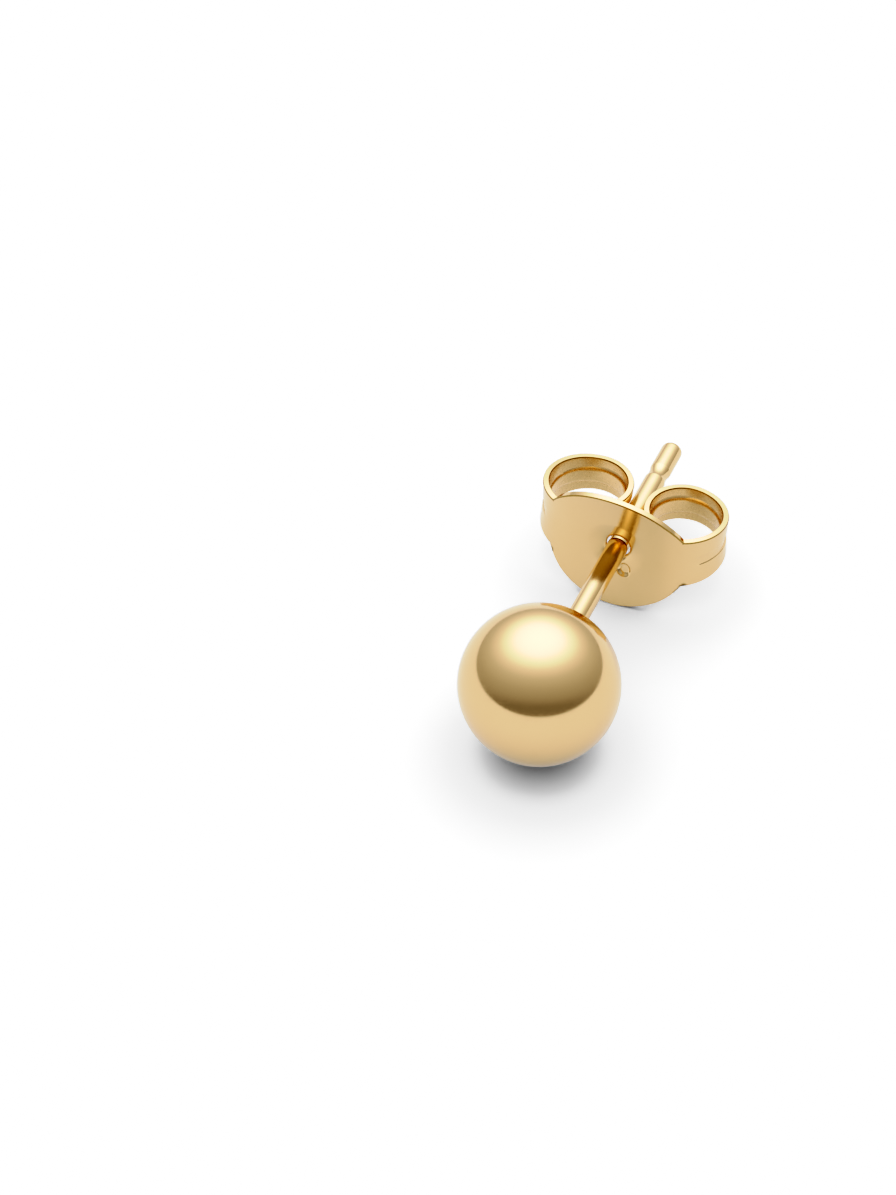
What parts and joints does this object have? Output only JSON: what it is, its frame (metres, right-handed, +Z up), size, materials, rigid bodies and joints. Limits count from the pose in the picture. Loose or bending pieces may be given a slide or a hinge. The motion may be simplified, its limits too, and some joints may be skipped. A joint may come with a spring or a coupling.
{
  "type": "ball stud earring with butterfly clutch",
  "caption": "Polished round ball on a straight grooved post, with a rolled butterfly clutch that slides along the post and grips it.",
  "frame": {"origin": "middle of the bounding box's base, on the surface that the earring lies on", "axes": "+Y horizontal, from the ball towards the post's tip; +X to the right; +Z up. The post slopes down 3.8 degrees towards its tip."},
  "size_m": [0.0072, 0.0172, 0.006],
  "materials": {
    "stud_gold": "mirror polished yellow gold",
    "clutch_gold": "polished stamped yellow gold sheet"
  },
  "bodies": {
    "stud": {"ball_stud": "stud_gold"},
    "clutch": {"butterfly_clutch": "clutch_gold"}
  },
  "joints": [
    {"name": "clutch_slide", "type": "slide", "parent": "stud", "child": "clutch", "axis": [0, 0.9978, -0.0667], "range_m": [-0.0051, 0.008]}
  ]
}
